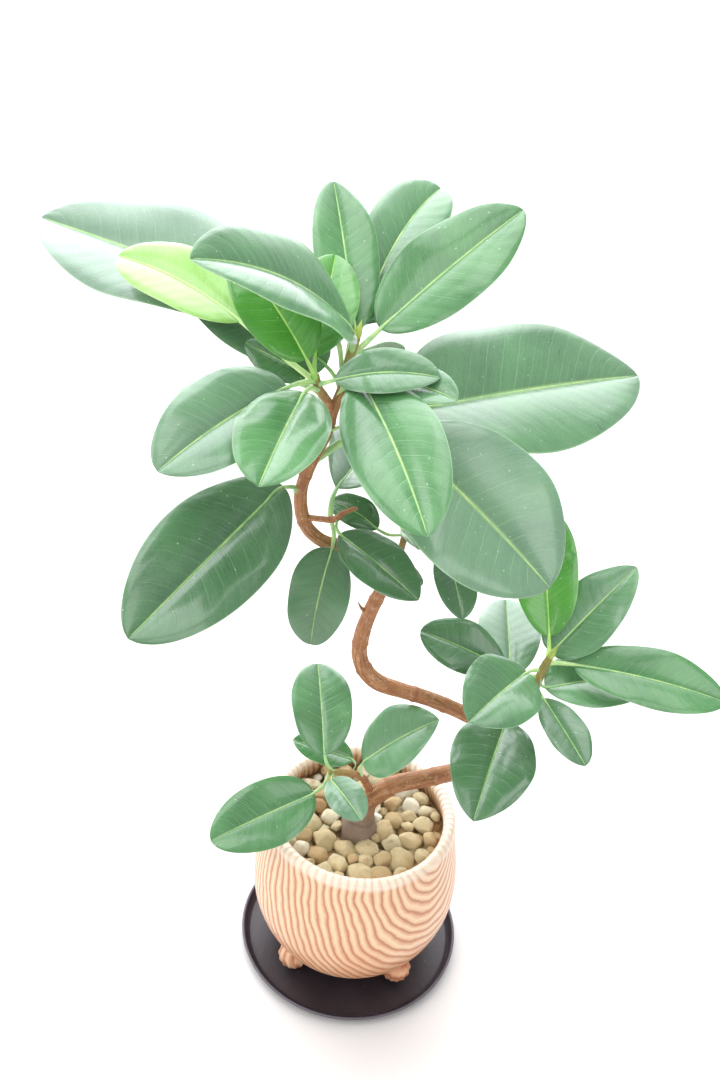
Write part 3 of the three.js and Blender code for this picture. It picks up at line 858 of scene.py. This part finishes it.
def makeGlaze():
    material, tree, shader = newMaterial("grainGlaze", Coat_Weight=0.3, Coat_Roughness=0.22)
    place = objectPlace(tree)
    bend = addNode(tree, "ShaderNodeTexNoise", {"Vector": place, "Scale": 15.0, "Detail": 2.0})
    push = vectorMaths(tree, "SUBTRACT", bend.outputs["Color"], (0.5, 0.5, 0.5))
    push = vectorMaths(tree, "SCALE", push, Scale=potSettings["grainWander"])
    moved = vectorMaths(tree, "ADD", place, push)
    parts = addNode(tree, "ShaderNodeSeparateXYZ", {"Vector": moved}).outputs
    eye = math.radians(potSettings["grainEye"])
    ahead = maths(tree, "MULTIPLY", parts["Y"], math.sin(eye))
    ahead = maths(tree, "MULTIPLY_ADD", parts["X"], math.cos(eye), ahead)
    aside = maths(tree, "MULTIPLY", parts["X"], -math.sin(eye))
    aside = maths(tree, "MULTIPLY_ADD", parts["Y"], math.cos(eye), aside)
    wrapped = maths(tree, "MULTIPLY", maths(tree, "ARCTAN2", aside, ahead), potHigh.x)
    below = maths(tree, "SUBTRACT", parts["Z"], potSettings["grainTop"])
    spread = {"X": wrapped, "Y": maths(tree, "MULTIPLY", below, potSettings["grainStretch"])}
    crossed = addNode(tree, "ShaderNodeCombineXYZ", spread).outputs["Vector"]
    away = vectorMaths(tree, "LENGTH", crossed)
    uneven = fineNoise(tree, place, 34.0, 2.0)
    count = maths(tree, "MULTIPLY_ADD", away, 1 / potSettings["grainSpacing"],
                  maths(tree, "MULTIPLY", uneven, 1.5))
    saw = maths(tree, "FRACT", count)
    fibres = fineNoise(tree, place, 330.0, 4.0, 0.6)
    saw = maths(tree, "MULTIPLY_ADD", maths(tree, "SUBTRACT", fibres, 0.5), 0.22, saw, clamp=True)
    lines = ramp(tree, saw, [(0.0, "#b06f4b"), (0.09, "#c88a63"), (0.28, "#dcb08a"), (0.55, "#ebcdaa"),
                             (0.80, "#e3bd97"), (1.0, "#b8785a")])
    height = parts["Z"]
    patch = useGroup(tree, mottle, Vector=place, Scale=26.0, Contrast=0.25)
    # darker and more orange towards the bottom, mottled
    darkerTowardsBottom = maths(tree, "MULTIPLY", fade(tree, height, 0.020, 0.095, 0.62, 0.10), patch["Value"])
    base = mixed(tree, darkerTowardsBottom, lines, colour("#efb083"), "MULTIPLY")
    base = mixed(tree, fade(tree, height, 0.1150, 0.1195, 0.0, 0.70), base, colour("#f1e2d0"))
    fine = maths(tree, "FRACT", maths(tree, "MULTIPLY", count, 3.0))
    base = mixed(tree, fade(tree, fine, 0.0, 0.25, 0.16, 0.0), base, colour("#c8875f"))
    speck = useGroup(tree, specks, Vector=place, Scale=260.0, Size=0.12, Share=0.10)
    base = tint(tree, base, speck["Mask"], 0.5, "#a5714d")
    rough = maths(tree, "MULTIPLY_ADD", patch["Grain"], 0.18, 0.30)
    relief = maths(tree, "MULTIPLY", fibres, 0.25)
    relief = maths(tree, "MULTIPLY_ADD", fade(tree, saw, 0.0, 0.3), 0.8, relief)
    feed(tree, shader, base, rough, relief, 0.0005)
    return material


def makeFoot(turn):
    size = potSettings["footRadius"]
    bpy.ops.mesh.primitive_uv_sphere_add(segments=28, ring_count=16, radius=size)
    foot = newPiece("foot")
    standing = potLow.z + 0.0002
    top = potLow.z + 0.0095
    for vertex in foot.data.vertices:
        angle = math.atan2(vertex.co.y, vertex.co.x)
        flute = 1 + 0.05 * math.cos(potSettings["flutes"] * 2 * angle) * (1 - abs(vertex.co.z / size) ** 2)
        vertex.co.x *= flute
        vertex.co.y *= flute
        vertex.co.z = max(vertex.co.z * (top - standing) / size, -(top - standing) * 0.97)
    centre = Matrix.Rotation(turn, 4, "Z") @ Vector((potSettings["footCircle"], 0, top))
    foot.data.transform(Matrix.Translation(centre))
    return foot


def makePot():
    rim = potHigh.z
    under = 0.012
    outside = [(0.044, under), (0.050, 0.0168), (0.0552, 0.0225), (0.0602, 0.031), (0.0646, 0.042),
               (0.0674, 0.054), (potHigh.x, 0.066), (0.0672, 0.080), (0.0652, 0.093), (0.0633, 0.106),
               (0.0621, 0.1155)]
    lip = [(0.0619, 0.1183), (0.0608, 0.1206), (0.0590, rim - 0.0002), (0.0570, rim - 0.0002),
           (0.0550, 0.1206), (0.0538, 0.1183)]
    inside = [(0.0545, 0.113), (0.0575, 0.100), (0.0605, 0.085), (0.0618, 0.062), (0.058, 0.040),
              (0.050, 0.026), (0.040, 0.0185), (0.020, 0.018), (potSettings["drain"], 0.018)]
    profile = [(potSettings["drain"], under), (0.025, under), *rounded(outside + lip + inside, 4),
               (potSettings["drain"], under)]
    pot = turnedPiece("pot_body", profile, potSettings["sides"])
    cleanUp(pot, outward=True)
    for i in range(potSettings["feet"]):
        turn = math.radians(potSettings["firstFoot"] + i * 360 / potSettings["feet"])
        foot = makeFoot(turn)
        useModifier(pot, "BOOLEAN", operation="UNION", object=foot, solver="EXACT")
        bpy.data.objects.remove(foot)
    giveMaterials(pot, makeGlaze())
    return finished(pot, ["pot"], 50)


makePot()
print("pot modelled")


# saucer
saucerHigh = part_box("saucer")[1]
saucerSettings = {"sides": 160, "radius": saucerHigh.x, "lip": saucerHigh.z, "floor": 3 * mm}


def makeSaucerFinish():
    material, tree, shader = newMaterial("blackSatin")
    place = objectPlace(tree)
    patch = useGroup(tree, mottle, Vector=place, Scale=18.0, Contrast=0.25)
    base = mixed(tree, patch["Value"], colour("#221c22"), colour("#2f272d"))
    parts = addNode(tree, "ShaderNodeSeparateXYZ", {"Vector": place}).outputs
    # painted highlight: lighter grey along the top of the saucer's lip
    edge = fade(tree, parts["Z"], saucerSettings["lip"] - 0.0014, saucerSettings["lip"] - 0.0003, 0.0, 0.55)
    base = mixed(tree, edge, base, colour("#6d6672"))
    dust = useGroup(tree, specks, Vector=place, Scale=220.0, Size=0.10, Share=0.10)
    base = tint(tree, base, dust["Mask"], 0.5, "#8d847c")
    rough = maths(tree, "MULTIPLY_ADD", patch["Value"], 0.10, 0.38)
    feed(tree, shader, base, rough, patch["Grain"], 0.0002)
    return material


def makeSaucer():
    outer, lip, floor = (saucerSettings[key] for key in ("radius", "lip", "floor"))
    profile = rounded([(0.030, 0.0), (0.056, 0.0), (0.0605, 0.0004), (0.066, 0.0018), (0.0715, 0.0042),
                       (outer - 0.0008, lip - 0.0018), (outer, lip - 0.0008), (outer - 0.0005, lip - 0.0001),
                       (outer - 0.0015, lip - 0.0003), (outer - 0.0030, lip - 0.0022),
                       (outer - 0.0056, floor + 0.0007), (outer - 0.0090, floor), (0.030, floor)], 4)
    profile = [(0.0005, 0.0), (0.015, 0.0), *profile, (0.015, floor), (0.0005, floor)]
    saucer = turnedPiece("saucer_plate", profile, saucerSettings["sides"])
    cleanUp(saucer, closeEnds=True, outward=True)
    saucer.data.materials.append(makeSaucerFinish())
    return finished(saucer, ["saucer"], 50)


makeSaucer()
print("saucer modelled")


# pebbles over the soil, with a gritty bed under them
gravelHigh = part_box("gravel")[1]
pebbleSettings = {
    "kinds": 14, "tries": 9000,
    "layers": [{"height": gravelHigh.z - 0.0026, "sizes": (7.6, 3.6), "seed": 21},
               {"height": gravelHigh.z - 0.0080, "sizes": (6.0, 3.4), "seed": 5}],
    "mouth": 54.6 * mm, "overlap": 0.86,
    "trunk": (-1 * mm, -5 * mm), "trunkRadius": 11 * mm,
    "bed": gravelHigh.z - 0.0115,
}


def makeStoneFinish():
    material, tree, shader = newMaterial("pebbleStone")
    place = objectPlace(tree)
    tone = stored(tree, "stoneTone")
    base = ramp(tree, tone, [(0.0, "#9c754a"), (0.16, "#b8976a"), (0.36, "#c9b083"), (0.6, "#d6c49a"),
                             (0.8, "#e2d6b6"), (1.0, "#f2ecdc")])
    patch = useGroup(tree, mottle, Vector=place, Scale=140.0, Contrast=0.22)
    base = tint(tree, base, patch["Value"], 0.26, "#a08a58")
    stain = fineNoise(tree, place, 90.0, 3.0)
    base = mixed(tree, fade(tree, stain, 0.58, 0.72, 0.0, 0.45), base, colour("#a4683c"))
    pits = useGroup(tree, specks, Vector=place, Scale=700.0, Size=0.25, Share=0.35)
    base = tint(tree, base, pits["Mask"], 0.35, "#6e5a3c")
    rough = maths(tree, "MULTIPLY_ADD", patch["Grain"], 0.2, 0.68)
    relief = maths(tree, "MULTIPLY_ADD", pits["Mask"], -0.4, patch["Grain"])
    feed(tree, shader, base, rough, relief, 0.0008)
    return material


def makePebbleKind(number):
    chance = random.Random(300 + number)
    bpy.ops.mesh.primitive_ico_sphere_add(subdivisions=4, radius=1)
    kind = newPiece("pebbleKind")
    cuts = []
    for i in range(chance.randint(5, 9)):
        normal = Vector((chance.gauss(0, 1), chance.gauss(0, 1), chance.gauss(0, 1))).normalized()
        cuts.append((normal, chance.uniform(0.62, 0.88)))
    shift = Vector((number * 7.3, 0, 0))
    for vertex in kind.data.vertices:
        spot = vertex.co.normalized()
        spot *= 1 + 0.16 * noise.noise(spot * 1.3 + shift) + 0.03 * noise.noise(spot * 5 + shift)
        for normal, depth in cuts:
            over = spot.dot(normal) - depth
            if over > 0:
                spot -= normal * over * 0.85
        vertex.co = spot
    useModifier(kind, "DECIMATE", ratio=0.25)
    return kind


def scatter(layer):
    chance = random.Random(layer["seed"])
    biggest, smallest = layer["sizes"]
    placed = []
    for i in range(pebbleSettings["tries"]):
        part = i / pebbleSettings["tries"]
        radius = (biggest + (smallest - biggest) * part ** 0.6) * chance.uniform(0.85, 1.15) * mm
        reach = (pebbleSettings["mouth"] - radius) * math.sqrt(chance.random())
        angle = chance.uniform(0, 2 * math.pi)
        x, y = reach * math.cos(angle), reach * math.sin(angle)
        trunkX, trunkY = pebbleSettings["trunk"]
        if math.hypot(x - trunkX, y - trunkY) < pebbleSettings["trunkRadius"] + 0.7 * radius:
            continue
        clear = all(math.hypot(x - a, y - b) > pebbleSettings["overlap"] * (radius + c) for a, b, c in placed)
        if clear:
            placed.append((x, y, radius))
    return placed


def makePebbles():
    stoneFinish = makeStoneFinish()
    kinds = [makePebbleKind(number) for number in range(pebbleSettings["kinds"])]
    chance = random.Random(77)
    stones = []
    for layer in pebbleSettings["layers"]:
        for x, y, radius in scatter(layer):
            kind = kinds[len(stones) % len(kinds)]
            stone = kind.copy()
            stone.data = kind.data.copy()
            bpy.context.scene.collection.objects.link(stone)
            flat = chance.uniform(0.62, 0.85)
            long = chance.uniform(1.0, 1.25)
            stretch = Matrix.Diagonal((radius * long, radius * 1.04, radius * flat, 1))
            lean = Matrix.Rotation(chance.uniform(-0.45, 0.45), 4, "X")
            spin = Matrix.Rotation(chance.uniform(0, 2 * math.pi), 4, "Z")
            height = layer["height"] - radius * flat * 0.9 + chance.uniform(-1.2, 1.2) * mm
            place = Matrix.Translation((x, y, height))
            stone.data.transform(place @ spin @ lean @ stretch)
            pointValue(stone, "stoneTone", min(max(chance.gauss(0.52, 0.27), 0), 1))
            stones.append(stone)
    for kind in kinds:
        bpy.data.objects.remove(kind)
    bpy.ops.mesh.primitive_grid_add(x_subdivisions=60, y_subdivisions=60, size=2)
    bed = newPiece("bed")
    for vertex in bed.data.vertices:
        x, y = vertex.co.x, vertex.co.y
        squared = math.hypot(x, y)
        inner = max(abs(x), abs(y)) / squared if squared else 1
        x, y = x * inner * 56 * mm, y * inner * 56 * mm
        bump = 1.4 * mm * noise.noise(Vector((x * 400, y * 400, 0)))
        vertex.co = Vector((x, y, pebbleSettings["bed"] + bump))
    useModifier(bed, "SOLIDIFY", thickness=4 * mm, offset=-1.0)
    pointValue(bed, "stoneTone", 0.12)
    pebbles = joined("pebbles", [*stones, bed])
    giveMaterials(pebbles, stoneFinish)
    print("pebbles placed:", len(stones))
    return finished(pebbles, ["gravel"], 55)


makePebbles()


# soil and drain screen
def makeSoilFinish():
    material, tree, shader = newMaterial("pottingSoil")
    place = objectPlace(tree)
    patch = useGroup(tree, mottle, Vector=place, Scale=90.0, Contrast=0.2)
    base = mixed(tree, patch["Value"], colour("#2c2018"), colour("#4a3727"))
    crumbs = useGroup(tree, specks, Vector=place, Scale=180.0, Size=0.3, Share=0.25)
    base = mixed(tree, crumbs["Mask"], base, colour("#8a7a64"))
    rough = maths(tree, "MULTIPLY_ADD", patch["Grain"], 0.1, 0.88)
    feed(tree, shader, base, rough, patch["Grain"], 0.002)
    return material


frame["nodes"]["soil"].material_slots[0].material = makeSoilFinish()
screenLow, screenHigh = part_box("drain_screen")
screenSettings = {"cells": 20, "wire": 0.45 * mm, "radius": screenHigh.x, "rim": 0.55 * mm}


def makeScreen():
    cells = screenSettings["cells"]
    size = 2 * screenSettings["radius"]
    bpy.ops.mesh.primitive_grid_add(x_subdivisions=cells, y_subdivisions=cells, size=size)
    screen = newPiece("screen_mesh")
    level = (screenLow.z + screenHigh.z) / 2
    bpy.ops.object.mode_set(mode="EDIT")
    bpy.ops.mesh.select_all(action="DESELECT")
    bpy.ops.object.mode_set(mode="OBJECT")
    for vertex in screen.data.vertices:
        vertex.select = math.hypot(vertex.co.x, vertex.co.y) > screenSettings["radius"] * 0.96
        vertex.co.z = level
    bpy.ops.object.mode_set(mode="EDIT")
    bpy.ops.mesh.delete(type="VERT")
    bpy.ops.object.mode_set(mode="OBJECT")
    useModifier(screen, "WIREFRAME", thickness=screenSettings["wire"], use_even_offset=True)
    ring = screenSettings["radius"] - screenSettings["rim"]
    bpy.ops.mesh.primitive_torus_add(major_radius=ring, minor_radius=screenSettings["rim"],
                                     major_segments=64, minor_segments=10, location=(0, 0, level))
    rim = newPiece("screen_rim")
    placeOf(rim)
    whole = joined("drain_mesh", [screen, rim])
    material, tree, shader = newMaterial("meshPlastic")
    place = objectPlace(tree)
    patch = useGroup(tree, mottle, Vector=place, Scale=220.0, Contrast=0.3)
    base = mixed(tree, patch["Value"], colour("#3d3d39"), colour("#55554f"))
    feed(tree, shader, base, maths(tree, "MULTIPLY_ADD", patch["Grain"], 0.2, 0.5), patch["Grain"], 0.0002)
    giveMaterials(whole, material)
    return finished(whole, ["drain_screen"], 40)


makeScreen()
print("soil and drain screen finished")


# studio
studioSettings = {
    "world": 0.66, "glow": 5.2, "glowTowards": (-0.25, 0.78, 0.60),
    "lights": [
        {"name": "windowLight", "place": (-1.3, -0.9, 1.7), "size": 1.4, "power": 20},
        {"name": "fillLight", "place": (0.9, -1.2, 1.6), "size": 1.2, "power": 10},
        {"name": "topLight", "place": (0.2, -0.1, 2.2), "size": 1.2, "power": 12},
    ],
}


def makeStudio():
    bpy.ops.mesh.primitive_plane_add(size=30, location=(0, 0, -0.0001))
    floor = newPiece("floor")
    placeOf(floor)
    material, tree, shader = newMaterial("paleFloor", Base_Color=colour("#dedad7"), Roughness=0.8)
    floor.data.materials.append(material)
    world = bpy.data.worlds.new("studio")
    world.use_nodes = True
    tree = world.node_tree
    tree.nodes["Background"].inputs["Color"].default_value = colour("#f8faff")
    lobe = Vector(studioSettings["glowTowards"]).normalized()
    direction = addNode(tree, "ShaderNodeTexCoord").outputs["Generated"]
    facing = vectorMaths(tree, "DOT_PRODUCT", direction, tuple(lobe))
    glow = fade(tree, facing, 0.55, 0.97, studioSettings["world"], studioSettings["glow"])
    tree.links.new(glow, tree.nodes["Background"].inputs["Strength"])
    bpy.context.scene.world = world
    for settings in studioSettings["lights"]:
        bpy.ops.object.light_add(type="AREA", location=settings["place"])
        light = bpy.context.object
        light.name = settings["name"]
        light.data.size = settings["size"]
        light.data.energy = settings["power"]
        aim = Vector((0, 0, 0.3)) - Vector(settings["place"])
        light.rotation_euler = aim.to_track_quat("-Z", "Y").to_euler()
    bpy.context.scene.view_settings.view_transform = "Standard"


makeStudio()
print("studio set")
